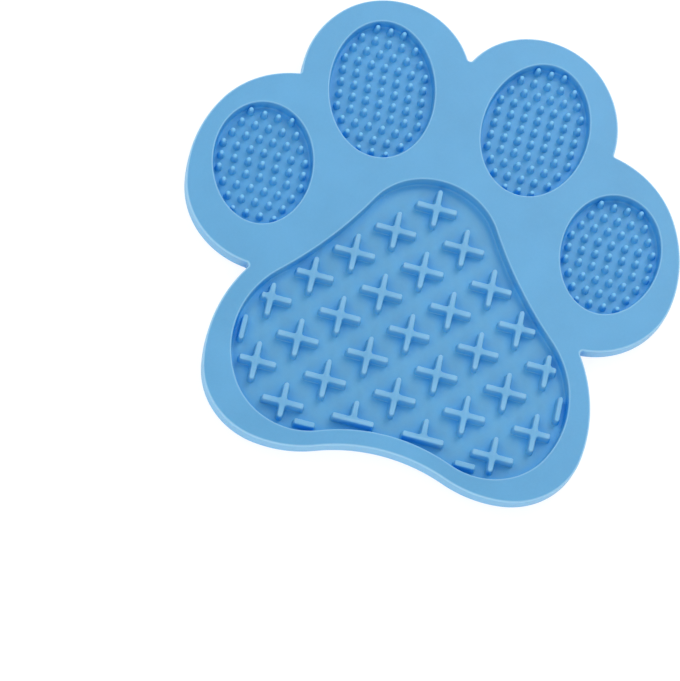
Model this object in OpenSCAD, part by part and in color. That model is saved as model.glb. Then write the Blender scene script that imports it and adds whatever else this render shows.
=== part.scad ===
// Paw-shaped lick mat, moulded in one piece of soft silicone.
// The mat stands on the lips of its suction cups, on the plane z = 0.
// X runs across the paw, +Y points to the toes, and the origin is under the middle of the outline.

/* [Mat] */
// Width of the paw across its outer toes
mat_w = 200; // [190:1:215]
// Thickness of the mat, from its underside to the top of the land
mat_t = 6; // [5.2:0.1:8]
// Thickness of the floor under the recesses
floor_t = 1.6; // [1.2:0.1:2.2]
// Rounding of the outer top edge
edge_r = 0.8; // [0.6:0.1:2]
// Rounding of the outer bottom edge
foot_r = 0.6; // [0.3:0.1:1]

/* [Recesses] */
// Rounding of the land where it turns down into a recess
mouth_r = 0.5; // [0.4:0.1:1.2]
// Fillet between a recess wall and its floor
root_r = 0.9; // [0.4:0.1:1.2]
// Lean of a recess wall, in degrees
wall_draft = 4; // [0:0.5:8]
// Width of an outer toe recess
outer_toe_w = 39.6; // [34:0.2:42]
// Length of an outer toe recess
outer_toe_l = 53.3; // [46:0.2:56]
// Width of an inner toe recess
inner_toe_w = 42.7; // [36:0.2:45]
// Length of an inner toe recess
inner_toe_l = 61.2; // [52:0.2:63]
// Width of the pad recess
pad_w = 133.4; // [120:0.2:136]

/* [Studs] */
// Distance between studs in a row
stud_pitch = 5.56; // [4.6:0.02:8]
// Distance between rows of studs
stud_row_pitch = 5.5; // [4.6:0.02:8]
// Height of a stud above the floor
stud_h = 3.9; // [2.5:0.1:4.2]
// Diameter of a stud at the floor
stud_base_d = 2.7; // [2.2:0.1:3.6]
// Diameter of a stud under its rounded tip
stud_tip_d = 1.9; // [1.2:0.1:2.2]
// Least distance from a stud's centre to the recess edge
stud_margin = 2.5; // [2.2:0.1:5]

/* [Pad ribs] */
// Distance between rows of crosses
cross_pitch = 13.9; // [12:0.1:18]
// Reach of an arm from the middle of its cross
arm_l = 8; // [5:0.1:9]
// Height of the ribs above the floor
rib_h = 3.6; // [2:0.1:4.2]
// Width of a rib at its top
rib_w = 2.3; // [1.6:0.1:3]
// Width of a rib at the floor
rib_base_w = 2.8; // [2:0.1:3.6]
// Rounding of a rib's top edges
rib_r = 0.5; // [0.2:0.1:0.8]
// Distance from the pad's edge to the middle of the top cross
cross_start = 11.5; // [9:0.1:16]
// Distance kept between the end of an arm and the recess edge
arm_margin = 3; // [2:0.1:5]
// Shortest arm that is moulded
arm_min_l = 3; // [2:0.1:5]
// Distance from the middle of a short bar to the recess edge
bar_margin = 3.4; // [2.4:0.1:6]
// Length of the two upright bars beside the pad's wide end
side_bar_l = 11.1; // [6:0.1:16]
// Length of the two bars in the pad's lower corners
heel_bar_l = 8.6; // [5:0.1:12]
// Least gap between a bar and the crosses beside it
bar_gap = 1; // [0.5:0.1:2]

/* [Suction cups] */
// Height of a suction cup
cup_h = 1.8; // [1.2:0.1:3]
// Diameter of a suction cup across its lip
cup_d = 16; // [10:0.5:20]
// Diameter of the neck that joins a cup to the mat
cup_neck_d = 10; // [5:0.5:11]
// Depth of the hollow in a cup
cup_dish = 1; // [0.5:0.1:1.1]
// Width of the flat lip that meets the table
cup_lip_w = 1; // [0.6:0.1:2]
// Thickness of the lip's outer rim
cup_rim_t = 0.5; // [0.3:0.1:0.8]

/* [Hidden] */
silicone = [0.45, 0.69, 0.86];
silicone_shade = [0.38, 0.63, 0.83];

// How far a faceted outline may stray from its true arc, and its widest step
chord_error = 0.06;
widest_step = 15;
// How far a cut runs past the face that it opens
overrun = 1;
edge_steps = 4;
foot_steps = 2;
mouth_steps = 3;
root_steps = 2;
egg_points = 52;
tip_steps = 4;
dish_steps = 6;

// Right half of the paw's outline, clockwise from the notch between the inner toes: each row is
// an arc's radius, as a share of the paw's width, and its turn in degrees, left turns positive.
// The arc at the heel follows from the rest, so that the outline closes on the paw's middle line.
paw_shares = [
    [0.0063, 62.7], // notch between the inner toes
    [0.164, -110.5], // crown of the inner toe
    [0.207, -48.1], // outer side of the inner toe
    [0.0056, 84.8], // notch between the toes
    [0.198, -50.4], // crown of the outer toe
    [0.288, -40.3], // side of the outer toe
    [0.175, -72.5], // lower end of the outer toe
    [0.006, 115.3], // notch between toe and pad
    [0.318, -41], // side of the pad
    [0.1525, -72.2], // corner of the pad
    [0.24, -29.4] // heel lobe
];
// The same for the pad recess, as shares of its width, from the middle of its top
pad_shares = [
    [0.212, -61.8], // crown
    [1.324, 16.4], // slanting side
    [0.309, -75], // widest part
    [0.21, -82] // lower corner
];
// Places of the toes and of the pad's top, as shares of the paw's width from its middle
outer_toe_shares = [0.356, 0.07];
inner_toe_shares = [0.1597, 0.2984];
pad_top_share = 0.1303;
// Lean of each toe in degrees, and how much wider its upper half is than its lower half
outer_toe_lean = 6.8;
inner_toe_lean = 7.1;
outer_toe_egg_share = 0.031;
inner_toe_egg_share = -0.017;
// Where each bar lies along the pad's length or half width
side_bar_share = 0.693;
heel_bar_share = 0.477;
// Places of two cups along a toe, as shares of its length
cup_toe_shares = [-0.22, 0.22];

// A path is a list of points with x, y and heading. Its inside lies to the right of the heading.

// Steps that keep an arc within the chord error
function arc_count(r, turn) =
    ceil(abs(turn) / min(widest_step, 2 * acos(1 - chord_error / r)));

// The point reached from p along an arc
function arc_point(p, r, turn) =
    let (side = sign(turn), h = p[2] + turn)
    [
        p.x + side * r * (sin(h) - sin(p[2])),
        p.y - side * r * (cos(h) - cos(p[2])),
        h
    ];

// The point reached after the first arcs of a chain
function chain_end(arcs, count) =
    count == 0 ? [0, 0, 0]
    : arc_point(chain_end(arcs, count - 1), arcs[count - 1][0], arcs[count - 1][1]);

// The chain with one more arc, which brings it back to the middle line
function closed_chain(arcs) =
    let (end = chain_end(arcs, len(arcs)), turn = -180 - end[2])
    concat(arcs, [[end.x / (sign(turn) * sin(end[2])), turn]]);

function sized(rows, size) = [for (row = rows) [row[0] * size, row[1]]];

// Points along a chain's arcs
function half_path(arcs) = [
    for (i = [0 : len(arcs) - 1])
        let (start = chain_end(arcs, i), count = arc_count(arcs[i][0], arcs[i][1]))
        for (k = [0 : count - 1]) arc_point(start, arcs[i][0], arcs[i][1] * k / count),
    chain_end(arcs, len(arcs))
];

// Both halves of an outline from its arc table, made exactly so wide
function outline(rows, width) =
    let (
        rough = half_path(closed_chain(sized(rows, width))),
        fit = width / (2 * max([for (p = rough) p.x])),
        half = half_path(closed_chain(sized(rows, width * fit)))
    )
    concat(half, [for (i = [len(half) - 2 : -1 : 1]) [-half[i].x, half[i].y, -half[i][2]]]);

// An egg of a given width and length, its crown leaning to the right
function egg(w, l, share, lean) = [
    for (k = [0 : egg_points - 1])
        let (
            t = 360 * k / egg_points,
            x = w / 2 * sin(t) * (1 + share * cos(t)),
            y = l / 2 * cos(t),
            heading = atan2(-l * sin(t), w * (cos(t) + share * cos(2 * t)))
        )
        [x * cos(lean) + y * sin(lean), y * cos(lean) - x * sin(lean), heading - lean]
];

function moved(path, to) = [for (p = path) [p.x + to.x, p.y + to.y, p[2]]];

function reflected(path) = [for (i = [len(path) - 1 : -1 : 0]) [-path[i].x, path[i].y, -path[i][2]]];

function inset(path, d) = [for (p = path) [p.x + d * sin(p[2]), p.y - d * cos(p[2])]];

function middle(path) = [
    (max([for (p = path) p.x]) + min([for (p = path) p.x])) / 2,
    (max([for (p = path) p.y]) + min([for (p = path) p.y])) / 2
];

// Where an outline crosses the level v of one axis, measured along the other axis
function crossings(points, axis, v) = [
    for (i = [0 : len(points) - 1])
        let (a = points[i], b = points[(i + 1) % len(points)])
        if ((a[axis] > v) != (b[axis] > v))
            a[1 - axis] + (b[1 - axis] - a[1 - axis]) * (v - a[axis]) / (b[axis] - a[axis])
];

// Heights: underside, floor of the recesses, top of the land
under_z = cup_h;
floor_z = under_z + floor_t;
top_z = under_z + mat_t;

// Outlines of the paw and its recesses, each where its wall stands
paw_start = outline(paw_shares, mat_w);
paw_path = moved(paw_start, -middle(paw_start));
outer_toe_at = outer_toe_shares * mat_w;
inner_toe_at = inner_toe_shares * mat_w;
outer_toe_path = moved(egg(outer_toe_w, outer_toe_l, outer_toe_egg_share, outer_toe_lean), outer_toe_at);
inner_toe_path = moved(egg(inner_toe_w, inner_toe_l, inner_toe_egg_share, inner_toe_lean), inner_toe_at);
pad_top_y = pad_top_share * mat_w;
pad_path = moved(outline(pad_shares, pad_w), [0, pad_top_y]);
pad_low_y = min([for (p = pad_path) p.y]);

// How far the recess wall leans in, and where its fillet ends on the floor
wall_lean = (mat_t - floor_t - mouth_r - root_r) * tan(wall_draft);
bed_inset = wall_lean + root_r;

// A solid through rings of one path: each step of its profile is an inset and a height
module loft(path, profile) {
    count = len(path);
    rings = [for (step = profile) [for (p = inset(path, step[0])) [p.x, p.y, step[1]]]];
    last = len(profile) - 1;
    hub = middle(path);
    low_hub = count * len(profile);
    polyhedron(
        points = concat(
            [for (ring = rings) each ring],
            [[hub.x, hub.y, profile[0][1]], [hub.x, hub.y, profile[last][1]]]
        ),
        faces = [
            for (i = [0 : count - 1])
                let (j = (i + 1) % count)
                each concat(
                    [[low_hub, j, i], [low_hub + 1, last * count + i, last * count + j]],
                    [
                        for (s = [0 : last - 1]) each [
                            [s * count + i, s * count + j, (s + 1) * count + j],
                            [s * count + i, (s + 1) * count + j, (s + 1) * count + i]
                        ]
                    ]
                )
        ],
        convexity = 10
    );
}

module paw_slab() {
    loft(paw_path, concat(
        [
            for (k = [0 : foot_steps])
                let (a = 90 * k / foot_steps)
                [foot_r * (1 - sin(a)), under_z + foot_r * (1 - cos(a))]
        ],
        [
            for (k = [0 : edge_steps])
                let (a = 90 * k / edge_steps)
                [edge_r * (1 - cos(a)), top_z - edge_r * (1 - sin(a))]
        ]
    ));
}

// What a recess takes out of the slab: its bed's seat, root fillet, leaning wall and mouth
module recess_cut(path) {
    loft(path, concat(
        [[bed_inset, under_z - overrun]],
        [
            for (k = [0 : root_steps])
                let (a = 90 * k / root_steps)
                [bed_inset - root_r * sin(a), floor_z + root_r * (1 - cos(a))]
        ],
        [
            for (k = [0 : mouth_steps])
                let (a = 90 * k / mouth_steps)
                [mouth_r * (cos(a) - 1), top_z - mouth_r * (1 - sin(a))]
        ],
        [[-mouth_r, top_z + overrun]]
    ));
}

// The land with its outer wall and the walls of the five recesses
module rim_frame() {
    color(silicone)
    difference() {
        paw_slab();
        recess_cut(outer_toe_path);
        recess_cut(inner_toe_path);
        recess_cut(reflected(inner_toe_path));
        recess_cut(reflected(outer_toe_path));
        recess_cut(pad_path);
    }
}

// The floor of one recess
module bed(path) {
    translate([0, 0, under_z])
    linear_extrude(floor_t)
    polygon(inset(path, bed_inset));
}

module pad_bed() {
    color(silicone_shade)
    bed(pad_path);
}

// Places of the studs in a toe: rows across it, each centred between the recess walls
function stud_places(path, length) =
    let (at = middle(path), rows = floor((length / 2 - stud_margin) / stud_row_pitch))
    [
        for (row = [-rows : rows])
            let (
                y = at.y + row * stud_row_pitch,
                ends = crossings(path, 1, y),
                room = max(ends) - min(ends) - 2 * stud_margin,
                gaps = floor(room / stud_pitch)
            )
            if (room >= 0)
                for (k = [0 : gaps])
                    [(max(ends) + min(ends)) / 2 + (k - gaps / 2) * stud_pitch, y]
    ];

// A tapered stud with a round tip, its foot sunk into the bed
module stud() {
    tip_r = stud_tip_d / 2;
    rotate_extrude()
    polygon(concat(
        [[0, -floor_t / 2], [stud_base_d / 2, -floor_t / 2], [stud_base_d / 2, 0]],
        [
            for (k = [0 : tip_steps])
                let (a = 90 * k / tip_steps)
                [tip_r * cos(a), stud_h - tip_r * (1 - sin(a))]
        ]
    ));
}

// The floor of a toe with its field of studs
module toe_bed(path, length) {
    color(silicone_shade)
    union() {
        bed(path);
        for (at = stud_places(path, length))
            translate([at.x, at.y, floor_z])
            stud();
    }
}

module outer_right_toe_bed() {
    toe_bed(outer_toe_path, outer_toe_l);
}

module inner_right_toe_bed() {
    toe_bed(inner_toe_path, inner_toe_l);
}

module inner_left_toe_bed() {
    mirror([1, 0, 0])
    inner_right_toe_bed();
}

module outer_left_toe_bed() {
    mirror([1, 0, 0])
    outer_right_toe_bed();
}

// Right half of a rib's section, from its middle line outwards
rib_half = concat(
    [[0, 0], [rib_base_w / 2, 0]],
    [
        for (k = [0 : tip_steps])
            let (a = 90 * k / tip_steps)
            [rib_w / 2 - rib_r * (1 - cos(a)), rib_h - rib_r * (1 - sin(a))]
    ],
    [[0, rib_h]]
);

// A rib along X between two ends, both rounded
module rib(from, to) {
    end_r = rib_base_w / 2;
    translate([from + end_r, 0, 0])
    rotate([90, 0, 90])
    linear_extrude(to - from - 2 * end_r)
    polygon(concat(rib_half, [for (i = [len(rib_half) - 2 : -1 : 1]) [-rib_half[i].x, rib_half[i].y]]));
    for (x = [from + end_r, to - end_r])
        translate([x, 0, 0])
        rotate_extrude()
        polygon(rib_half);
}

// Places of the bars beside the pad's wide end and of those in its lower corners
side_y = pad_top_y - side_bar_share * (pad_top_y - pad_low_y);
side_x = max(crossings(pad_path, 1, side_y)) - bar_margin;
heel_x = heel_bar_share * pad_w / 2;
heel_y = min(crossings(pad_path, 0, heel_x)) + bar_margin;
// Each bar's place, and how far from there a rib's middle line keeps away on either axis
side_clear = [rib_base_w + bar_gap, (side_bar_l + rib_base_w) / 2 + bar_gap];
heel_clear = [(heel_bar_l + rib_base_w) / 2 + bar_gap, rib_base_w + bar_gap];
bar_places = [
    for (side = [-1, 1])
        each [[[side * side_x, side_y], side_clear], [[side * heel_x, heel_y], heel_clear]]
];

// The line that the arms keep inside, and the places of the crosses within it
arm_line = inset(pad_path, arm_margin);
cross_top_y = pad_top_y - cross_start;
cross_rows = floor((cross_top_y - pad_low_y) / cross_pitch);
cross_places = [
    for (row = [0 : cross_rows])
        let (y = cross_top_y - row * cross_pitch, ends = crossings(arm_line, 1, y))
        for (column = [-row : 2 : row])
            let (x = column * cross_pitch)
            if (len(ends) > 0 && x > min(ends) && x < max(ends) && off_bars([x, y])) [x, y, row]
];

// Whether the middle of a cross lies clear of every bar
function off_bars(at) =
    len([
        for (bar = bar_places)
            if (abs(bar[0].x - at.x) < bar[1].x && abs(bar[0].y - at.y) < bar[1].y) bar
    ]) == 0;

// How far an arm reaches one way along an axis before it comes too near a bar
function bar_room(at, axis, way) = min([
    arm_l,
    for (bar = bar_places)
        let (ahead = way * (bar[0][axis] - at[axis]), aside = abs(bar[0][1 - axis] - at[1 - axis]))
        if (ahead > 0 && aside < bar[1][1 - axis]) ahead - bar[1][axis] + rib_base_w / 2
]);

// The four arms of a cross: right, up, left and down, each cut short at the arm line or by a bar
function arms(at) =
    let (
        across = crossings(arm_line, 1, at.y),
        along = crossings(arm_line, 0, at.x),
        room = [
            min(max(across) - at.x, bar_room(at, 0, 1)),
            min(max(along) - at.y, bar_room(at, 1, 1)),
            min(at.x - min(across), bar_room(at, 0, -1)),
            min(at.y - min(along), bar_room(at, 1, -1))
        ]
    )
    [for (r = room) r < arm_min_l ? 0 : r];

function is_whole(at) = min(arms(at)) > 0;

// A cross, or a tee where an arm is missing
module cross_rib(at) {
    reach = arms(at);
    stub = rib_base_w / 2;
    translate([at.x, at.y, floor_z]) {
        rib(-max(reach[2], stub), max(reach[0], stub));
        rotate([0, 0, 90])
        rib(-max(reach[3], stub), max(reach[1], stub));
    }
}

module pad_crosses() {
    color(silicone)
    for (at = cross_places)
        if (is_whole(at)) cross_rib(at);
}

module pad_tees() {
    color(silicone)
    for (at = cross_places)
        if (!is_whole(at)) cross_rib(at);
}

// Two upright bars beside the wide end of the pad, and two level bars in its lower corners
module pad_bars() {
    color(silicone)
    for (side = [-1, 1]) {
        translate([side * side_x, side_y, floor_z])
        rotate([0, 0, 90])
        rib(-side_bar_l / 2, side_bar_l / 2);
        translate([side * heel_x, heel_y, floor_z])
        rib(-heel_bar_l / 2, heel_bar_l / 2);
    }
}

// Cups under every second row of crosses, and two under each toe
cup_places = concat(
    [for (at = cross_places) if (at[2] % 2 == 1) [at.x, at.y]],
    [
        for (side = [-1, 1])
            for (toe = [[outer_toe_at, outer_toe_l, outer_toe_lean], [inner_toe_at, inner_toe_l, inner_toe_lean]])
                for (share = cup_toe_shares)
                    [
                        side * (toe[0].x + share * toe[1] * sin(toe[2])),
                        toe[0].y + share * toe[1] * cos(toe[2])
                    ]
    ]
);

// A shallow cup: a domed hollow, a flat lip, a thin rim and a back that flares from the neck
module suction_cup() {
    dish_r = cup_d / 2 - cup_lip_w;
    flare = (cup_d - cup_neck_d) / 2;
    rotate_extrude()
    polygon(concat(
        [for (k = [0 : dish_steps]) let (q = k / dish_steps) [q * dish_r, cup_dish * (1 - pow(q, 2))]],
        [[cup_d / 2, 0]],
        [
            for (k = [0 : dish_steps])
                let (q = 1 - k / dish_steps)
                [cup_d / 2 - flare * (1 - q), cup_rim_t + (cup_h - cup_rim_t) * pow(1 - q, 2)]
        ],
        [[0, cup_h]]
    ));
}

module suction_cups() {
    color(silicone_shade)
    for (at = cup_places)
        translate([at.x, at.y, 0])
        suction_cup();
}

rim_frame();
pad_bed();
outer_left_toe_bed();
inner_left_toe_bed();
inner_right_toe_bed();
outer_right_toe_bed();
pad_crosses();
pad_tees();
pad_bars();
suction_cups();
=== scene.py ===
# %% [markdown]
# # A lick mat in the shape of a paw
#
# The real mat is one soft moulding of blue silicone: a flat land round five recesses, studs in the four
# toe recesses, raised crosses in the pad recess, and suction cups below. A wet dog's tongue pushes food
# round these shapes, so all of them are rounded. The light shows that too: soft edges and soft shade.
#
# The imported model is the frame. Its boxes give the heights and widths used here, so nothing has to be
# fitted. Lengths below are written in millimetres and turned into Blender's metres by MM.

# %% The frame and its sizes
import math
import bpy
from mathutils import Matrix, Vector


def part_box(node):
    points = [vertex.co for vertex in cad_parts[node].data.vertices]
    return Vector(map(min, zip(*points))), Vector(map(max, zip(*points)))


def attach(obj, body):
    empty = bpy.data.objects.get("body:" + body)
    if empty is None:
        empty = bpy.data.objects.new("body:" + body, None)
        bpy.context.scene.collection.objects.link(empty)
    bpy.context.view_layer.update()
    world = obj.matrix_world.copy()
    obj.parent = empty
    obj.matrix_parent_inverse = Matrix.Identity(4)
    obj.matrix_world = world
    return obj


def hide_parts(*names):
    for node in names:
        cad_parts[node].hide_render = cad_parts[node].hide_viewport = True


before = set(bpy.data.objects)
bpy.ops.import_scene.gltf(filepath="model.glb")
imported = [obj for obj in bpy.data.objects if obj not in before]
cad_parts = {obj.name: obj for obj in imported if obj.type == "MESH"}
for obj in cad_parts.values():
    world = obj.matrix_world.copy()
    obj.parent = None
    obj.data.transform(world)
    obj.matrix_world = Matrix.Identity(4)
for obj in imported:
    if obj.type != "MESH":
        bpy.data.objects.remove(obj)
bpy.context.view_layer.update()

MM = 0.001
BODY = "root"

rim_low, rim_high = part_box("rim_frame")
bed_low, bed_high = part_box("pad_bed")
stud_top_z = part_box("inner_right_toe_bed")[1].z
rib_top_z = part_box("pad_crosses")[1].z
mat_w = rim_high.x - rim_low.x
under_z = rim_low.z
floor_z = bed_high.z
top_z = rim_high.z
print(f"mat {mat_w / MM:.1f} mm wide, land at {top_z / MM:.1f} mm, floors at {floor_z / MM:.1f} mm")

# %% [markdown]
# ## One way to write every node tree
#
# Blender's node trees are easier to read as sums than as boxes and wires. `Flow` wraps one output socket,
# and its operators add Math nodes. `Board` wraps a tree, and its method `node` makes any other node:
# its settings first, then the values or links of its sockets. The same pair serves geometry and shaders.


# %% A socket that can be added and multiplied
class Flow:
    """A number that varies over a surface, as an expression."""

    def __init__(self, board, socket):
        self.board = board
        self.socket = socket

    def math(self, operation, first, second):
        made = self.board.node("ShaderNodeMath", {"operation": operation}, {0: first, 1: second})
        return Flow(self.board, made.outputs[0])

    def __add__(self, other):
        return self.math("ADD", self, other)

    def __radd__(self, other):
        return self.math("ADD", other, self)

    def __sub__(self, other):
        return self.math("SUBTRACT", self, other)

    def __rsub__(self, other):
        return self.math("SUBTRACT", other, self)

    def __mul__(self, other):
        return self.math("MULTIPLY", self, other)

    def __rmul__(self, other):
        return self.math("MULTIPLY", other, self)

    def clipped(self):
        made = self.board.node("ShaderNodeClamp", {}, {"Value": self})
        return Flow(self.board, made.outputs[0])


# %% A tree that is filled by calls
class Board:
    """A node tree that is filled by calls."""

    def __init__(self, tree):
        self.tree = tree
        tree.nodes.clear()

    def node(self, kind, settings, sockets):
        made = self.tree.nodes.new(kind)
        for name, value in settings.items():
            if name == "stops":
                self.stops(made, value)
            else:
                setattr(made, name, value)
        for key, value in sockets.items():
            if isinstance(value, Flow):
                value = value.socket
            if isinstance(value, bpy.types.NodeSocket):
                self.tree.links.new(value, made.inputs[key])
            else:
                made.inputs[key].default_value = value
        return made

    def stops(self, ramp, stops):
        elements = ramp.color_ramp.elements
        while len(elements) < len(stops):
            elements.new(1)
        for element, (place, colour) in zip(elements, stops):
            element.position = place
            element.color = colour

    def flow(self, kind, settings, sockets, output=0):
        return Flow(self, self.node(kind, settings, sockets).outputs[output])

    def geometry(self, kind, settings=None, output=0, **sockets):
        """A geometry node whose sockets are written with underscores for spaces."""
        named = {key.replace("_", " "): value for key, value in sockets.items()}
        return self.node(kind, settings or {}, named).outputs[output]


# %% How a Geometry Nodes tree starts, ends and runs
def geometry_tree(name, inputs):
    """A tree with named inputs. Gives its board, its input sockets and their identifiers."""
    tree = bpy.data.node_groups.new(name, "GeometryNodeTree")
    tree.interface.new_socket("Geometry", in_out="INPUT", socket_type="NodeSocketGeometry")
    codes = {}
    for label, kind in inputs.items():
        codes[label] = tree.interface.new_socket(label, in_out="INPUT", socket_type=kind).identifier
    tree.interface.new_socket("Geometry", in_out="OUTPUT", socket_type="NodeSocketGeometry")
    board = Board(tree)
    source = board.node("NodeGroupInput", {}, {})
    return board, source.outputs, codes


def end_tree(board, geometry, material):
    """Realize Instances and Set Material, then the output."""
    plain = board.geometry("GeometryNodeRealizeInstances", Geometry=geometry)
    smooth = board.geometry("GeometryNodeSetShadeSmooth", Geometry=plain)
    painted = board.geometry("GeometryNodeSetMaterial", Geometry=smooth, Material=material)
    board.node("NodeGroupOutput", {}, {0: painted})


def run_tree(name, host, board, codes, values):
    """The plain mesh that a tree makes of its host, as a new object at the origin."""
    modifier = host.modifiers.new(name, "NODES")
    modifier.node_group = board.tree
    for label, value in values.items():
        modifier[codes[label]] = value
    bpy.context.view_layer.update()
    seen = host.evaluated_get(bpy.context.evaluated_depsgraph_get())
    mesh = bpy.data.meshes.new_from_object(seen)
    host.modifiers.remove(modifier)
    mesh.name = name
    piece = bpy.data.objects.new(name, mesh)
    bpy.context.scene.collection.objects.link(piece)
    triangles = sum(len(face.vertices) - 2 for face in mesh.polygons)
    print(f"{name}: {len(mesh.vertices)} points, {triangles} triangles")
    return piece


def discard(*helpers):
    for helper in helpers:
        bpy.data.objects.remove(helper)


# %% [markdown]
# ## The camera
#
# The photograph was taken from the heel side, high above the mat and a long way off, with the camera
# rolled over by a quarter of a right angle. Its place, its two angles and its lens are written as a
# photographer would note them.

# %% Camera
camera_at = Vector((-109.16, -593.28, 1186.07)) * MM
camera_elevation = 65.085
camera_azimuth = 8.766
camera_roll = 22.687
camera_lens = 177.82


def turned_camera(elevation, azimuth, roll):
    """Rotation of a camera that looks down steeply, towards an azimuth from +Y, and is rolled."""
    e, a, r = (math.radians(v) for v in (elevation, azimuth, roll))
    ahead = Vector((math.sin(a) * math.cos(e), math.cos(a) * math.cos(e), -math.sin(e)))
    level = ahead.cross(Vector((0, 0, 1))).normalized()
    steep = level.cross(ahead)
    right = level * math.cos(r) + steep * math.sin(r)
    up = right.cross(ahead)
    return Matrix((right, up, -ahead)).transposed().to_4x4()


camera_data = bpy.data.cameras.new("photo_camera")
camera_data.lens = camera_lens
camera_data.sensor_width = 36
camera_data.clip_start = 0.05
camera_data.clip_end = 20
camera = bpy.data.objects.new("photo_camera", camera_data)
camera_turn = turned_camera(camera_elevation, camera_azimuth, camera_roll)
camera.matrix_world = Matrix.Translation(camera_at) @ camera_turn
bpy.context.scene.collection.objects.link(camera)
bpy.context.scene.camera = camera
print(f"camera {camera_at.length:.2f} m from the mat")

# %% [markdown]
# ## The studio
#
# A product shot on white: one large soft lamp beyond the toes and to the right, a small one on the left,
# a low one in front of the heel that lights the outer wall, and a bright, slightly bluish room. The shade
# of every rib falls towards the heel and to the left, which tells where the large lamp stands. The white
# behind the mat is no lamp: only rays that end in the camera, a gloss or a glass find it.

# %% A white table
table_grey = (0.88, 0.88, 0.88, 1)
table_whiteness = 0.8
table_glow = 0.45
plain_white = (1, 1, 1, 1)
floor_half = 4


def background_rays(board):
    """1 for the rays that find the white background: the camera's, a gloss's and those through glass."""
    path = board.node("ShaderNodeLightPath", {}, {}).outputs
    seen = Flow(board, path["Is Camera Ray"]) + path["Is Glossy Ray"] + path["Is Transmission Ray"]
    return seen.clipped()


def studio_white(name):
    """A lit table: the camera sees it white with its shadow kept, and it glows a little from below."""
    material = bpy.data.materials.new(name)
    material.use_nodes = True
    board = Board(material.node_tree)
    seen = background_rays(board) * table_whiteness
    surface = board.node("ShaderNodeBsdfDiffuse", {}, {"Color": table_grey})
    glow = board.node("ShaderNodeEmission", {}, {"Color": plain_white, "Strength": table_glow})
    lit = board.node("ShaderNodeAddShader", {}, {0: surface.outputs[0], 1: glow.outputs[0]})
    backdrop = board.node("ShaderNodeEmission", {}, {"Color": plain_white, "Strength": 1.0})
    mixed = board.node("ShaderNodeMixShader", {}, {0: seen, 1: lit.outputs[0], 2: backdrop.outputs[0]})
    board.node("ShaderNodeOutputMaterial", {}, {0: mixed.outputs[0]})
    return material


floor_corners = [(x * floor_half, y * floor_half, 0) for x, y in ((-1, -1), (1, -1), (1, 1), (-1, 1))]
floor_mesh = bpy.data.meshes.new("studio_floor")
floor_mesh.from_pydata(floor_corners, [], [(0, 1, 2, 3)])
floor_mesh.materials.append(studio_white("studio_floor_white"))
sheet = bpy.data.objects.new("studio_floor", floor_mesh)
bpy.context.scene.collection.objects.link(sheet)

# %% The bright room
room_blue = (0.8, 0.93, 1, 1)
room_strength = 0.8

world = bpy.data.worlds.new("white_room")
bpy.context.scene.world = world
world.use_nodes = True
room = Board(world.node_tree)
room_light = room.node("ShaderNodeBackground", {}, {"Color": room_blue, "Strength": room_strength})
room_white = room.node("ShaderNodeBackground", {}, {"Color": plain_white, "Strength": 1.0})
room_parts = {0: background_rays(room), 1: room_light.outputs[0], 2: room_white.outputs[0]}
room_mix = room.node("ShaderNodeMixShader", {}, room_parts)
room.node("ShaderNodeOutputWorld", {}, {0: room_mix.outputs[0]})
bpy.context.scene.view_settings.view_transform = "Standard"


# %% Three lamps
def softbox(name, at, aim, size, power):
    """A square white lamp at a place, facing a point."""
    data = bpy.data.lights.new(name, "AREA")
    data.size = size
    data.energy = power
    lamp = bpy.data.objects.new(name, data)
    place = Vector(at)
    turn = (Vector(aim) - place).to_track_quat("-Z", "Y")
    lamp.matrix_world = Matrix.Translation(place) @ turn.to_matrix().to_4x4()
    bpy.context.scene.collection.objects.link(lamp)


softbox("overhead_lamp", at=(0.45, 1.02, 1.03), aim=(0, 0, 0), size=0.8, power=8.5)
softbox("toe_lamp", at=(-0.85, 0.3, 1.0), aim=(-0.06, 0.02, 0), size=0.4, power=2)
softbox("heel_lamp", at=(-0.15, -1.6, 0.75), aim=(0, 0, 0), size=0.5, power=5.2)

# %% [markdown]
# ## Silicone
#
# Soft moulded silicone is a matt, slightly cloudy rubber. Light goes a millimetre or two into it and
# comes out again, which the subsurface scattering of the material gives. The tool that moulds it is
# blasted, which leaves a fine even grain, and a long flow of rubber leaves the colour a little cloudy.
# The colour also carries painted light. There is painted shade of a clearer blue where Ambient Occlusion
# finds the crowded places, so that the shade at the foot of a stud or rib never turns grey. There is
# painted shade on the floors, found by the height. And there is a painted highlight of paler blue on
# rounded edges, tips and the outer wall, where the attribute "rim" of each piece says.

# %% Colours and scales of the silicone
sky_blue = (0.1135, 0.346, 0.577)
# Painted shade: the clearer, deeper blue that the colour takes where the surface is crowded.
crowded_shade_blue = (0.001, 0.345, 0.83)
# Painted shade: how much darker and deeper the floors are drawn than the land.
floor_shade_tint = (0.94, 0.985, 0.985)
# Painted highlight and painted light: the paler blue of rounded edges, the outer wall and rib tops, and
# the palest blue of stud tips.
painted_highlight_blue = (0.335, 0.56, 0.735)
tip_highlight_blue = (0.21, 0.51, 0.77)
cloudiness = 0.05
cloud_scale = 38.0
mote_scale = 900.0
grain_scale = 3200.0
grain_depth = 0.04 * MM
crowded_within = 4.5 * MM
light_reach = 1.5 * MM


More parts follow.
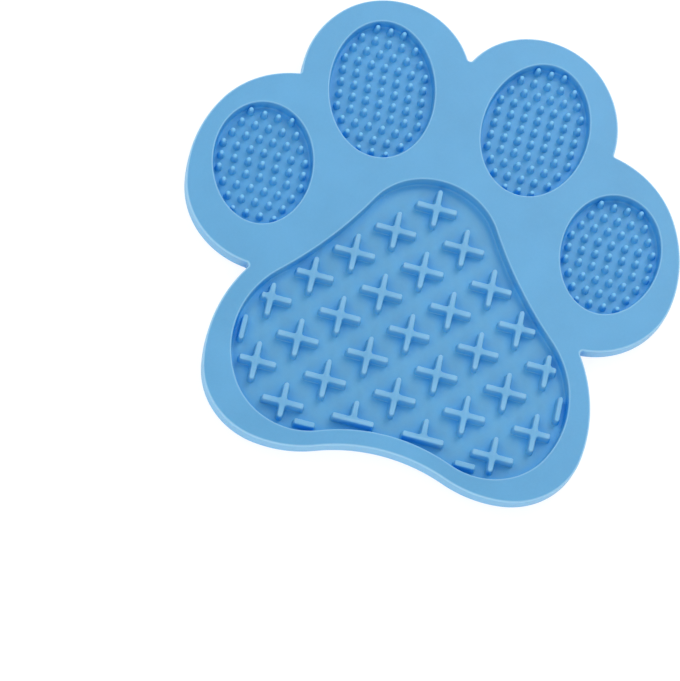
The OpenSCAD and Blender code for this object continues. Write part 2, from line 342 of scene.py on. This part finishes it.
# %% The silicone material
def silicone(name, highlight_colour):
    """Matt rubber: a cloudy colour, a fine grain, and light that goes a little way in.

    The colour runs to a clearer blue where the surface is crowded and to the floor tint with depth below
    the land, both painted shade, and to the pale colour as "rim" goes to 1, a painted highlight."""
    material = bpy.data.materials.new(name)
    material.use_nodes = True
    board = Board(material.node_tree)
    place = board.node("ShaderNodeTexCoord", {}, {}).outputs["Object"]

    def noise(scale, detail, roughness):
        sockets = {"Vector": place, "Scale": scale, "Detail": detail, "Roughness": roughness}
        return board.flow("ShaderNodeTexNoise", {}, sockets)

    broad = noise(cloud_scale, 3.0, 0.55)
    motes = noise(mote_scale, 1.0, 0.5)
    fine = noise(grain_scale, 2.0, 0.6)
    # Ambient Occlusion: how open the surface is. Where it is low, the colour gets painted shade.
    reach = {"Distance": crowded_within}
    openness = board.flow("ShaderNodeAmbientOcclusion", {"samples": 8}, reach, "AO")
    # The attribute "rim" holds each point's share of painted highlight.
    rim = board.flow("ShaderNodeAttribute", {"attribute_name": "rim"}, {}, "Fac")
    deep = tuple(c * (1 - cloudiness) for c in sky_blue) + (1,)
    pale = tuple(c * (1 + cloudiness) + 0.1 * cloudiness for c in sky_blue) + (1,)
    clouds = broad * 0.8 + motes * 0.2
    tint = board.node("ShaderNodeValToRGB", {"stops": [(0.3, deep), (0.7, pale)]}, {"Fac": clouds})
    # Painted shade that grows with depth below the land, up to the floor tint on the floors.
    height = board.flow("ShaderNodeSeparateXYZ", {}, {0: place}, "Z")
    sunk = ((top_z - height) * (1 / (top_z - floor_z))).clipped()
    tinted = {0: sunk, 6: tint.outputs[0], 7: floor_shade_tint + (1,)}
    depth = board.node("ShaderNodeMix", {"data_type": "RGBA", "blend_type": "MULTIPLY"}, tinted)
    # Painted shade: clearer blue in crowded places, at the feet of studs and ribs and along the walls.
    crowded = {0: openness, 6: crowded_shade_blue + (1,), 7: depth.outputs[2]}
    shaded = board.node("ShaderNodeMix", {"data_type": "RGBA"}, crowded)
    # Painted highlight: the colour runs to the pale one as "rim" goes to 1, less in crowded places.
    highlighted = {0: rim * openness, 6: shaded.outputs[2], 7: highlight_colour + (1,)}
    lit = board.node("ShaderNodeMix", {"data_type": "RGBA"}, highlighted)
    roughness = broad * 0.1 + fine * 0.1 + 0.32
    grain = {"Strength": 0.25, "Distance": grain_depth, "Height": fine * 0.7 + motes * 0.3}
    bump = board.node("ShaderNodeBump", {}, grain)
    surface = board.node(
        "ShaderNodeBsdfPrincipled",
        {"subsurface_method": "RANDOM_WALK"},
        {
            "Base Color": lit.outputs[2],
            "Roughness": roughness,
            "IOR": 1.41,
            "Specular IOR Level": 0.5,
            "Subsurface Weight": 0.3,
            "Subsurface Radius": (0.25, 0.7, 1.0),
            "Subsurface Scale": light_reach,
            "Normal": bump.outputs[0],
        },
    )
    board.node("ShaderNodeOutputMaterial", {}, {0: surface.outputs[0]})
    return material


# Two copies of one silicone that differ only in the colour of their painted highlight. The stud tips get
# the paler one.
blue_silicone = silicone("blue_silicone", painted_highlight_blue)
tip_highlight_silicone = silicone("blue_silicone_tips", tip_highlight_blue)

# %% [markdown]
# ## Outlines
#
# A mould maker draws a paw as arcs that run smoothly into each other. Each row below is one arc: its
# radius, as a share of the width, and how far it turns. The last arc follows from the rest, because the
# outline has to close on the middle line. A toe is an egg: an ellipse that is a little wider at one end.

# %% Outline helpers
arc_step = math.radians(4)
arc_chord = 1.6 * MM


def arc_point(point, radius, turn):
    """The place and heading reached from a point along an arc. A left turn is positive."""
    x, y, heading = point
    side = 1 if turn > 0 else -1
    after = heading + turn
    x += side * radius * (math.sin(after) - math.sin(heading))
    y -= side * radius * (math.cos(after) - math.cos(heading))
    return x, y, after


def half_outline(rows, width):
    """Right half of an outline from its arc table, clockwise from its middle line."""
    arcs = [(share * width, math.radians(turn)) for share, turn in rows]
    point = (0, 0, 0)
    for radius, turn in arcs:
        point = arc_point(point, radius, turn)
    turn = -math.pi - point[2]
    side = 1 if turn > 0 else -1
    arcs.append((point[0] / (side * math.sin(point[2])), turn))
    points = []
    point = (0, 0, 0)
    for radius, turn in arcs:
        count = math.ceil(max(abs(turn) / arc_step, abs(turn) * radius / arc_chord))
        points += [arc_point(point, radius, turn * k / count) for k in range(count)]
        point = arc_point(point, radius, turn)
    return points + [point]


def outline(rows, width):
    """Both halves of an outline, made exactly so wide."""
    rough = half_outline(rows, width)
    half = half_outline(rows, width * width / (2 * max(p[0] for p in rough)))
    return [(x, y) for x, y, _ in half] + [(-x, y) for x, y, _ in reversed(half[1:-1])]


def egg(width, length, swell, lean, count=120):
    """A toe's outline, clockwise, leaning to the right. A swell makes the crown end wider."""
    points = []
    turn = math.radians(lean)
    for k in range(count):
        t = 2 * math.pi * k / count
        x = width / 2 * math.sin(t) * (1 + swell * math.cos(t))
        y = length / 2 * math.cos(t)
        aside = x * math.cos(turn) + y * math.sin(turn)
        points.append((aside, y * math.cos(turn) - x * math.sin(turn)))
    return points


def moved(points, dx, dy):
    return [(x + dx, y + dy) for x, y in points]


def reflected(points):
    return [(-x, y) for x, y in reversed(points)]


def middle(points):
    xs, ys = zip(*points)
    return (max(xs) + min(xs)) / 2, (max(ys) + min(ys)) / 2


# %% The paw and its five recesses
paw_shares = [
    (0.0063, 62.7),
    (0.164, -110.5),
    (0.207, -48.1),
    (0.0056, 84.8),
    (0.198, -50.4),
    (0.288, -40.3),
    (0.175, -72.5),
    (0.006, 115.3),
    (0.318, -41),
    (0.1525, -72.2),
    (0.24, -29.4),
]
pad_shares = [(0.212, -61.8), (1.324, 16.4), (0.309, -75), (0.21, -82)]
pad_top_share = 0.1303
pad_w = 133.4 * MM
outer_toe_shares = (0.356, 0.07)
inner_toe_shares = (0.1597, 0.2984)
outer_toe_swell = 0.031
inner_toe_swell = -0.017
outer_toe_w = 39.6 * MM
outer_toe_l = 53.3 * MM
inner_toe_w = 42.7 * MM
inner_toe_l = 61.2 * MM
outer_toe_lean = 6.8
inner_toe_lean = 7.1

paw_rough = outline(paw_shares, mat_w)
paw_middle = middle(paw_rough)
paw_line = moved(paw_rough, -paw_middle[0], -paw_middle[1])
pad_top_y = pad_top_share * mat_w
pad_line = moved(outline(pad_shares, pad_w), 0, pad_top_y)
outer_toe = egg(outer_toe_w, outer_toe_l, outer_toe_swell, outer_toe_lean)
inner_toe = egg(inner_toe_w, inner_toe_l, inner_toe_swell, inner_toe_lean)
outer_right_line = moved(outer_toe, *(share * mat_w for share in outer_toe_shares))
inner_right_line = moved(inner_toe, *(share * mat_w for share in inner_toe_shares))
toe_lines = {
    "outer_left": reflected(outer_right_line),
    "inner_left": reflected(inner_right_line),
    "inner_right": inner_right_line,
    "outer_right": outer_right_line,
}
paw_length = max(y for _, y in paw_line) - min(y for _, y in paw_line)
print(f"paw {paw_length / MM:.1f} mm long from {len(paw_line)} points")

# %% [markdown]
# ## The moulding
#
# The land, the walls and the floors are one skin on the real mat. A section drawn once and swept round an
# outline gives an even rounding everywhere, which is what `Curve to Mesh` does. Its open edges are then
# turned back into curves and filled: the land with five holes in it, the five floors and the underside.
# Doubles are merged, so the light runs over every rounding without a seam. Each point of a section
# carries a third number beside its inset and height: its share of painted light, stored as "rim". The
# silicone shows it as a paler blue: a painted highlight on the edges and painted light on the outer wall.

# %% Sections of the outer edge and of a recess wall
edge_r = 0.8 * MM
foot_r = 0.6 * MM
mouth_r = 0.5 * MM
root_r = 0.9 * MM
wall_draft = math.radians(4)
flat_band = 0.7 * MM
rimless_band = 0.25 * MM
# Shares of painted light: paler blue on the foot and the outer wall, and a painted highlight halfway
# round the edge and along the mouth of a recess.
foot_light_share = 0.4
wall_light_share = 0.34
edge_highlight_share = 0.95
mouth_highlight_share = 0.45
wall_lean = (top_z - floor_z - mouth_r - root_r) * math.tan(wall_draft)
bed_inset = wall_lean + root_r


def quarter(steps):
    return [math.pi / 2 * k / steps for k in range(steps + 1)]


def edge_section():
    """From the underside round the foot, up the outer wall and over the edge on to the land.

    Each step is an inset, a height and its share of painted light. A painted highlight makes the edge
    palest halfway round."""
    steps = [(foot_r + flat_band, under_z, 0)]
    for a in quarter(4):
        rim = foot_light_share * math.sin(a)
        steps.append((foot_r * (1 - math.sin(a)), under_z + foot_r * (1 - math.cos(a)), rim))
    steps += [(0, under_z + 2 * foot_r, wall_light_share), (0, top_z - 2 * edge_r, wall_light_share)]
    for a in quarter(8):
        rim = wall_light_share * (1 - math.sin(a)) + edge_highlight_share * math.sin(2 * a)
        steps.append((edge_r * (1 - math.cos(a)), top_z - edge_r * (1 - math.sin(a)), rim))
    return steps + [(edge_r + rimless_band, top_z, 0), (edge_r + flat_band, top_z, 0)]


def recess_section():
    """From the land over the mouth, down the leaning wall and round the root on to the floor."""
    land = [(-mouth_r - flat_band, top_z, 0), (-mouth_r - rimless_band, top_z, 0)]
    mouth = []
    for a in quarter(6):
        # Painted highlight along the mouth of the recess.
        rim = mouth_highlight_share * math.cos(a)
        mouth.append((mouth_r * (math.sin(a) - 1), top_z - mouth_r * (1 - math.cos(a)), rim))
    root = []
    for a in quarter(6):
        root.append((bed_inset - root_r * math.cos(a), floor_z + root_r * (1 - math.sin(a)), 0))
    return land + mouth + root + [(bed_inset + flat_band, floor_z, 0)]


def wires(name, lines, closed):
    """A helper curve with one spline for each line. A point's third number becomes its radius."""
    data = bpy.data.curves.new(name, "CURVE")
    data.dimensions = "3D"
    for line in lines:
        spline = data.splines.new("POLY")
        spline.points.add(len(line) - 1)
        for point, place in zip(spline.points, line):
            point.co = (place[0], place[1], 0, 1)
            point.radius = place[2] if len(place) > 2 else 1
        spline.use_cyclic_u = closed
    wire = bpy.data.objects.new(name, data)
    bpy.context.scene.collection.objects.link(wire)
    return wire


# %% The tree that sweeps, fills and welds
level_tolerance = 0.02 * MM
weld_distance = 0.01 * MM
moulding_inputs = {
    "Edge Section": "NodeSocketObject",
    "Recess Section": "NodeSocketObject",
    "Land Height": "NodeSocketFloat",
    "Floor Height": "NodeSocketFloat",
    "Underside Height": "NodeSocketFloat",
    "Weld Distance": "NodeSocketFloat",
    "Silicone": "NodeSocketMaterial",
}
board, source, codes = geometry_tree("moulding", moulding_inputs)


def swept(wire, section):
    """A section swept round level wires. Its X runs inwards, its Y down, and its radius becomes "rim",
    the share of painted highlight.
    """
    upright = board.geometry("GeometryNodeSetCurveNormal", {"mode": "Z_UP"}, Curve=wire)
    shape = board.geometry("GeometryNodeObjectInfo", {}, output="Geometry", Object=section)
    marked = board.geometry(
        "GeometryNodeStoreNamedAttribute", {"data_type": "FLOAT", "domain": "POINT"},
        Geometry=shape, Name="rim", Value=board.node("GeometryNodeInputRadius", {}, {}).outputs[0],
    )
    return board.geometry("GeometryNodeCurveToMesh", Curve=upright, Profile_Curve=marked)


def whole_equals(number, value):
    """A selection of where a whole number has a value."""
    settings = {"operation": "EQUAL", "data_type": "INT"}
    return board.node("FunctionNodeCompare", settings, {2: number, 3: value}).outputs[0]


def filled(rings, height):
    """The open rings at one height, filled and set at that height."""
    place = board.node("GeometryNodeInputPosition", {}, {}).outputs[0]
    z = board.node("ShaderNodeSeparateXYZ", {}, {0: place}).outputs["Z"]
    level = board.node(
        "FunctionNodeCompare", {"operation": "EQUAL", "data_type": "FLOAT"},
        {"A": z, "B": height, "Epsilon": level_tolerance},
    )
    picked = board.geometry(
        "GeometryNodeSeparateGeometry", {"domain": "POINT"}, Geometry=rings, Selection=level.outputs[0]
    )
    flat = board.geometry("GeometryNodeFillCurve", {"mode": "TRIANGLES"}, Curve=picked)
    lift = board.node("ShaderNodeCombineXYZ", {}, {"Z": height})
    return board.geometry("GeometryNodeTransform", Geometry=flat, Translation=lift.outputs[0])


index = board.node("GeometryNodeInputIndex", {}, {}).outputs[0]
wire_parts = {0: source["Geometry"], 1: whole_equals(index, 0)}
sorted_wires = board.node("GeometryNodeSeparateGeometry", {"domain": "CURVE"}, wire_parts)
walls = board.node("GeometryNodeJoinGeometry", {}, {})
outer_wall = swept(sorted_wires.outputs[0], source["Edge Section"])
recess_walls = swept(sorted_wires.outputs[1], source["Recess Section"])
board.tree.links.new(outer_wall, walls.inputs[0])
board.tree.links.new(recess_walls, walls.inputs[0])
sides = board.node("GeometryNodeInputMeshEdgeNeighbors", {}, {}).outputs[0]
is_open = whole_equals(sides, 1)
rings = board.geometry("GeometryNodeMeshToCurve", Mesh=walls.outputs[0], Selection=is_open)
land = filled(rings, source["Land Height"])
floors = filled(rings, source["Floor Height"])
below = board.geometry("GeometryNodeFlipFaces", Mesh=filled(rings, source["Underside Height"]))
skin = board.node("GeometryNodeJoinGeometry", {}, {})
for part in (walls.outputs[0], land, floors, below):
    board.tree.links.new(part, skin.inputs[0])
welded = board.geometry(
    "GeometryNodeMergeByDistance", Geometry=skin.outputs[0], Distance=source["Weld Distance"]
)
end_tree(board, welded, source["Silicone"])

# %% The moulding itself
outline_wires = wires("outline_wires", [paw_line, pad_line, *toe_lines.values()], True)
edge_wire = wires("edge_wire", [[(x, -z, rim) for x, z, rim in edge_section()]], False)
recess_wire = wires("recess_wire", [[(x, -z, rim) for x, z, rim in recess_section()]], False)
moulding = run_tree(
    "mat_moulding", outline_wires, board, codes,
    {
        "Edge Section": edge_wire,
        "Recess Section": recess_wire,
        "Land Height": top_z,
        "Floor Height": floor_z,
        "Underside Height": under_z,
        "Weld Distance": weld_distance,
        "Silicone": blue_silicone,
    },
)
discard(outline_wires, edge_wire, recess_wire)
toe_beds = [side + "_toe_bed" for side in toe_lines]
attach(moulding, BODY)
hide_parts("rim_frame", "pad_bed", *toe_beds)

# %% [markdown]
# ## What repeats
#
# Studs, crosses, tees, bars and cups are each one small shape, placed many times. The tree below puts a
# shape on every point of its host. It leans each copy by a hair, because soft rubber never stands quite
# straight, and it can draw in the ends of a shape by what two attributes of its point say. That is how
# the crosses beside the wall get their short arms.

# %% The tree that spreads one shape over points
spread_inputs = {
    "Shape": "NodeSocketObject",
    "Lean": "NodeSocketFloat",
    "Seed": "NodeSocketInt",
    "Silicone": "NodeSocketMaterial",
}
spread, spread_source, spread_codes = geometry_tree("spread", spread_inputs)


def stored(name):
    """A vector attribute by name."""
    return spread.node(
        "GeometryNodeInputNamedAttribute", {"data_type": "FLOAT_VECTOR"}, {"Name": name}
    ).outputs["Attribute"]


def spread_vector(operation, a, b):
    return spread.node("ShaderNodeVectorMath", {"operation": operation}, {0: a, 1: b}).outputs[0]


shape = spread.geometry("GeometryNodeObjectInfo", {}, output="Geometry", Object=spread_source["Shape"])
chance = spread.node(
    "FunctionNodeRandomValue", {"data_type": "FLOAT_VECTOR"},
    {0: (-1, -1, 0), 1: (1, 1, 0), "Seed": spread_source["Seed"]},
).outputs[0]
leaning = {0: chance, "Scale": spread_source["Lean"]}
lean = spread.node("ShaderNodeVectorMath", {"operation": "SCALE"}, leaning)
copies = spread.geometry(
    "GeometryNodeInstanceOnPoints",
    Points=spread_source["Geometry"], Instance=shape, Rotation=lean.outputs[0],
)
loose = spread.geometry("GeometryNodeRealizeInstances", Geometry=copies)
drawn_back = spread_vector("MULTIPLY", stored("back_end"), stored("back_trim"))
drawn_on = spread_vector("MULTIPLY", stored("front_end"), stored("front_trim"))
trimmed = spread.geometry(
    "GeometryNodeSetPosition", Geometry=loose, Offset=spread_vector("SUBTRACT", drawn_back, drawn_on)
)
end_tree(spread, trimmed, spread_source["Silicone"])


def points_host(name, places, trims=None):
    """Loose points. A trim holds how far the right, upper, left and lower ends are drawn in."""
    mesh = bpy.data.meshes.new(name)
    mesh.from_pydata(places, [], [])
    if trims:
        front = mesh.attributes.new("front_trim", "FLOAT_VECTOR", "POINT")
        back = mesh.attributes.new("back_trim", "FLOAT_VECTOR", "POINT")
        for k, (right, upper, left, lower) in enumerate(trims):
            front.data[k].vector = (right, upper, 0)
            back.data[k].vector = (left, lower, 0)
    host = bpy.data.objects.new(name, mesh)
    bpy.context.scene.collection.objects.link(host)
    return host


def spread_shape(name, shape, host, lean, seed, stands_for, rubber):
    """One shape on all points of a host, as a finished piece."""
    values = {"Shape": shape, "Lean": math.radians(lean), "Seed": seed, "Silicone": rubber}
    piece = run_tree(name, host, spread, spread_codes, values)
    discard(host)
    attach(piece, BODY)
    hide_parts(stands_for)
    return piece


def paint_highlight(mesh, low, high, middle_share, end_share, reach):
    """Paints a highlight on the upper part of a shape as its attribute "rim": none of it at a low level
    and all of it at a high one.

    What counts as all runs from a share in the middle of the shape to another at its reach."""
    layer = mesh.attributes.new("rim", "FLOAT", "POINT")
    for k, vertex in enumerate(mesh.vertices):
        outward = min(1, vertex.co.xy.length / reach)
        upward = min(1, max(0, (vertex.co.z - low) / (high - low)))
        layer.data[k].value = upward * (middle_share + (end_share - middle_share) * outward)


def turned(name, section, sides):
    """A shape turned about Z from a section that starts and ends on its axis, lowest point first."""
    rings = section[1:-1]
    points = [(0, 0, section[0][1])]
    for radius, z in rings:
        for k in range(sides):
            a = 2 * math.pi * k / sides
            points.append((radius * math.cos(a), radius * math.sin(a), z))
    points.append((0, 0, section[-1][1]))
    crown = len(points) - 1
    faces = []
    for k in range(sides):
        j = (k + 1) % sides
        faces.append((0, 1 + j, 1 + k))
        for r in range(len(rings) - 1):
            base = 1 + r * sides
            faces.append((base + k, base + j, base + sides + j, base + sides + k))
        base = 1 + (len(rings) - 1) * sides
        faces.append((base + k, base + j, crown))
    mesh = bpy.data.meshes.new(name)
    mesh.from_pydata(points, [], faces)
    made = bpy.data.objects.new(name, mesh)
    bpy.context.scene.collection.objects.link(made)
    return made


# %% [markdown]
# ## Studs
#
# Each toe is a bed of soft studs in level rows, every row centred between the walls. A stud is a slim
# cone with a round tip and a small flare at its foot, as a mould needs to let it go. Its tip gets a
# painted highlight: the copy of the silicone with the palest blue.

# %% Stud fields
stud_pitch = 5.56 * MM
stud_row_pitch = 5.5 * MM
stud_margin = 2.5 * MM
stud_base_r = 1.35 * MM
stud_tip_r = 0.95 * MM
stud_flare = 0.25 * MM
stud_flare_steps = ((1, 0), (0.25, 0.5), (-0.2, 1.6))
stud_root = 0.3 * MM
stud_lean = 1.2
stud_h = stud_top_z - floor_z
# Where the painted highlight on a stud's tip begins and where it is full.
tip_low = stud_h - 1.7 * stud_tip_r
tip_high = stud_h - 0.5 * stud_tip_r


def crossings(line, axis, level):
    """Where a closed line crosses a level of one axis, measured along the other axis."""
    found = []
    for a, b in zip(line, line[1:] + line[:1]):
        if (a[axis] > level) != (b[axis] > level):
            share = (level - a[axis]) / (b[axis] - a[axis])
            found.append(a[1 - axis] + (b[1 - axis] - a[1 - axis]) * share)
    return found


def stud_places(line, length):
    places = []
    rows = math.floor((length / 2 - stud_margin) / stud_row_pitch)
    for row in range(-rows, rows + 1):
        y = middle(line)[1] + row * stud_row_pitch
        ends = crossings(line, 1, y)
        room = max(ends) - min(ends) - 2 * stud_margin
        if room >= 0:
            gaps = math.floor(room / stud_pitch)
            start = (max(ends) + min(ends)) / 2 - gaps / 2 * stud_pitch
            places += [(start + k * stud_pitch, y, floor_z) for k in range(gaps + 1)]
    return places


# %% One stud, and the four fields
stud_section = [(0, -stud_root), (stud_base_r + stud_flare, -stud_root)]
stud_section += [(stud_base_r + out * stud_flare, up * stud_flare) for out, up in stud_flare_steps]
for a in quarter(4):
    stud_section.append((stud_tip_r * math.cos(a), stud_h - stud_tip_r * (1 - math.sin(a))))
stud = turned("stud_shape", stud_section, 14)
# Painted highlight on the stud's tip.
paint_highlight(stud.data, tip_low, tip_high, 1, 1, stud_base_r)
for seed, (side, line) in enumerate(toe_lines.items()):
    length = outer_toe_l if side.startswith("outer") else inner_toe_l
    places = stud_places(line, length)
    print(f"{side} toe: {len(places)} studs")
    host = points_host("stud_points", places)
    spread_shape(side + "_toe_studs", stud, host, stud_lean, seed, side + "_toe_bed", tip_highlight_silicone)
discard(stud)

# %% [markdown]
# ## Crosses, tees and bars
#
# The pad's ribs are drawn as a plan and a section. The plan of a cross is four ends and four small
# fillets between them: its upright arms run out slim and its level arms end blunt. Every ring of the
# section is that plan, drawn in by an inset, so a cross is one clean skin and its two bars never lie over
# each other. The same function makes the tees and the bars.

# %% Rib shapes
arm_l = 8.4 * MM
rib_w = 2.3 * MM
rib_base_w = 2.8 * MM
rib_r = 0.5 * MM
slim_end_w = 2.5 * MM
slim_end_l = 1.4 * MM
blunt_end_l = 1.2 * MM
blunt_squareness = 1.6
rib_flare = 0.35 * MM
rib_root = 0.3 * MM
rib_flat_step = 0.12 * MM
crook_r = 0.8 * MM
# Shares of painted highlight on the rib tops: little at the hub, more towards the ends of the arms.
hub_highlight_share = 0.06
arm_highlight_share = 0.48
rib_h = rib_top_z - floor_z
RIGHT, UP, LEFT, DOWN = range(4)
directions = {RIGHT: Vector((1, 0)), UP: Vector((0, 1)), LEFT: Vector((-1, 0)), DOWN: Vector((0, -1))}


def rounded(part, squareness):
    """A cosine or sine, pushed outwards so that a round end gets squarer. 1 keeps it round."""
    return math.copysign(abs(part) ** (1 / squareness), part)


def arm_end(side, reach):
    """Points round the end of one arm. Upright arms run out slim, level arms end wide and blunt."""
    slim = side in (UP, DOWN)
    half = (slim_end_w if slim else rib_base_w) / 2
    long = slim_end_l if slim else blunt_end_l
    squareness = 1 if slim else blunt_squareness
    ahead = directions[side]
    across = Vector((-ahead.y, ahead.x))
    points = []
    for step in range(11):
        a = math.pi * (step / 10 - 0.5)
        forth = rounded(math.cos(a), squareness) if 0 < step < 10 else 0
        aside = rounded(math.sin(a), squareness)
        place = ahead * (reach - long * (1 - forth)) + across * half * aside
        points.append((place, ahead * forth + across * aside, side))
    return points


def rib_plan(reaches):
    """Points round a rib's foot, anticlockwise: place, outward direction and the end they belong to."""
    half = rib_base_w / 2
    plan = []
    sides = sorted(reaches)
    for k, side in enumerate(sides):
        ahead = directions[side]
        plan += arm_end(side, reaches[side])
        after = directions[sides[(k + 1) % len(sides)]]
        if abs(ahead.dot(after)) < 0.5:
            corner = (ahead + after) * (half + crook_r)
            for step in range(5):
                a = math.pi / 2 * step / 4
                out = after * math.cos(a) + ahead * math.sin(a)
                plan.append((corner - out * crook_r, out, None))
    return plan


def rib_section():
    """Insets and heights from below the floor, over the flare and up to the flat top."""
    steps = [(-rib_flare, -rib_root), (-rib_flare, 0)]
    steps += [(-rib_flare * (1 - math.sin(a)), rib_flare * (1 - math.cos(a))) for a in quarter(3)[1:]]
    draft = (rib_base_w - rib_w) / 2
    steps += [(draft + rib_r * (1 - math.cos(a)), rib_h - rib_r * (1 - math.sin(a))) for a in quarter(5)]
    return steps + [(draft + rib_r + rib_flat_step, rib_h)]


def rib_shape(name, reaches):
    """A rib's skin, with the two attributes that tell the spreading tree which ends may be drawn in."""
    plan = rib_plan(reaches)
    points = []
    for inset, z in rib_section():
        for place, out, _ in plan:
            points.append((place.x - out.x * inset, place.y - out.y * inset, z))
    count = len(plan)
    rings = len(points) // count
    faces = [tuple(reversed(range(count))), tuple(range((rings - 1) * count, rings * count))]
    for r in range(rings - 1):
        for k in range(count):
            j = (k + 1) % count
            faces.append((r * count + k, r * count + j, (r + 1) * count + j, (r + 1) * count + k))
    mesh = bpy.data.meshes.new(name)
    mesh.from_pydata(points, [], faces)
    front = mesh.attributes.new("front_end", "FLOAT_VECTOR", "POINT")
    back = mesh.attributes.new("back_end", "FLOAT_VECTOR", "POINT")
    level, upright = (1, 0, 0), (0, 1, 0)
    marks = {RIGHT: (front, level), UP: (front, upright), LEFT: (back, level), DOWN: (back, upright)}
    for k in range(len(points)):
        side = plan[k % count][2]
        if side is not None:
            layer, mark = marks[side]
            layer.data[k].vector = mark
    # Painted highlight along the tops of the arms.
    paint_highlight(mesh, rib_h - 2 * rib_r, rib_h - rib_r / 2, hub_highlight_share, arm_highlight_share, arm_l)
    made = bpy.data.objects.new(name, mesh)
    bpy.context.scene.collection.objects.link(made)
    return made


# %% Places and trims of the crosses
cross_pitch = 13.9 * MM
cross_start = 11.5 * MM
arm_margin = 3 * MM
arm_min_l = 3 * MM
pad_low_y = min(y for _, y in pad_line)


def inset(line, distance):
    """A clockwise line drawn in, each point square to the line through its neighbours."""
    drawn = []
    for k, (x, y) in enumerate(line):
        before = Vector(line[k - 1])
        after = Vector(line[(k + 1) % len(line)])
        ahead = (after - before).normalized()
        drawn.append((x + ahead.y * distance, y - ahead.x * distance))
    return drawn


def cross_grid():
    """Every cross: its place and the reach of its right, upper, left and lower arm."""
    arm_line = inset(pad_line, arm_margin)
    top_y = pad_top_y - cross_start
    grid = []
    for row in range(math.floor((top_y - pad_low_y) / cross_pitch) + 1):
        y = top_y - row * cross_pitch
        across = crossings(arm_line, 1, y)
        for column in range(-row, row + 1, 2):
            x = column * cross_pitch
            if across and min(across) < x < max(across):
                along = crossings(arm_line, 0, x)
                room = (max(across) - x, max(along) - y, x - min(across), y - min(along))
                grid.append((x, y, row, [0 if r < arm_min_l else min(r, arm_l) for r in room]))
    return grid


crosses = [cross for cross in cross_grid() if min(cross[3]) > 0]
tees = [cross for cross in cross_grid() if min(cross[3]) == 0]
print(f"pad: {len(crosses)} crosses and {len(tees)} tees")

# %% Crosses and tees
cross_shape = rib_shape("cross_shape", {side: arm_l for side in directions})
tee_shape = rib_shape("tee_shape", {side: arm_l for side in (RIGHT, UP, LEFT)})


def rib_host(ribs):
    places = [(x, y, floor_z) for x, y, _, _ in ribs]
    trims = [[arm_l - reach for reach in reaches] for _, _, _, reaches in ribs]
    return points_host("rib_points", places, trims)


spread_shape("pad_cross_ribs", cross_shape, rib_host(crosses), 0, 11, "pad_crosses", blue_silicone)
spread_shape("pad_tee_ribs", tee_shape, rib_host(tees), 0, 12, "pad_tees", blue_silicone)
discard(cross_shape, tee_shape)

# %% Bars
bar_margin = 3.4 * MM
side_bar_l = 11.1 * MM
heel_bar_l = 8.6 * MM
side_bar_share = 0.693
heel_bar_share = 0.477


def joined(name, shapes):
    """Several shapes as one piece."""
    made = shapes[0]
    with bpy.context.temp_override(active_object=made, selected_editable_objects=shapes):
        bpy.ops.object.join()
    made.name = name
    made.data.name = name
    return made


side_y = pad_top_y - side_bar_share * (pad_top_y - pad_low_y)
side_x = max(crossings(pad_line, 1, side_y)) - bar_margin
heel_x = heel_bar_share * pad_w / 2
heel_y = min(crossings(pad_line, 0, heel_x)) + bar_margin
upright_bar = rib_shape("upright_bar_shape", {UP: side_bar_l / 2, DOWN: side_bar_l / 2})
level_bar = rib_shape("level_bar_shape", {RIGHT: heel_bar_l / 2, LEFT: heel_bar_l / 2})
bar_sets = []
for shape_of_bar, x, y in ((upright_bar, side_x, side_y), (level_bar, heel_x, heel_y)):
    host = points_host("bar_points", [(-x, y, floor_z), (x, y, floor_z)])
    values = {"Shape": shape_of_bar, "Lean": 0.0, "Seed": 13, "Silicone": blue_silicone}
    name = shape_of_bar.name.replace("_shape", "s")
    bar_sets.append(run_tree(name, host, spread, spread_codes, values))
    discard(host, shape_of_bar)
bars = joined("pad_bar_ribs", bar_sets)
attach(bars, BODY)
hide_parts("pad_bars")

# %% [markdown]
# ## Suction cups
#
# The photograph doesn't show the underside. Mats of this kind hold on to a table with small cups, so they
# are here, under every second row of crosses and under each toe. A cup is turned about its own axis: a
# shallow dish, a thin lip and a back that narrows to the neck.

# %% Cups
cup_r = 8 * MM
cup_neck_r = 5 * MM
cup_dish = 1 * MM
cup_lip_w = 1 * MM
cup_rim_t = 0.5 * MM
cup_root = 0.3 * MM
cup_toe_shares = (-0.22, 0.22)


def cup_section():
    steps = [k / 12 for k in range(13)]
    hollow = [(q * (cup_r - cup_lip_w), cup_dish * (1 - q * q)) for q in steps]
    lip = [(cup_r - cup_rim_t / 4, 0), (cup_r, cup_rim_t / 4)]
    back = []
    for q in steps:
        back.append((cup_r - (cup_r - cup_neck_r) * q, cup_rim_t + (under_z - cup_rim_t) * q * q))
    return hollow + lip + back + [(cup_neck_r, under_z + cup_root), (0, under_z + cup_root)]


cup_places = [(x, y, 0) for x, y, row, _ in cross_grid() if row % 2 == 1]
toe_cups = (
    (outer_toe_shares, outer_toe_l, outer_toe_lean),
    (inner_toe_shares, inner_toe_l, inner_toe_lean),
)
for side in (-1, 1):
    for (x_share, y_share), length, toe_lean in toe_cups:
        for share in cup_toe_shares:
            x = x_share * mat_w + share * length * math.sin(math.radians(toe_lean))
            y = y_share * mat_w + share * length * math.cos(math.radians(toe_lean))
            cup_places.append((side * x, y, 0))
cup = turned("cup_shape", cup_section(), 48)
cup_host = points_host("cup_points", cup_places)
spread_shape("mat_suction_cups", cup, cup_host, 0, 14, "suction_cups", blue_silicone)
discard(cup)
print(f"{len(cup_places)} cups")
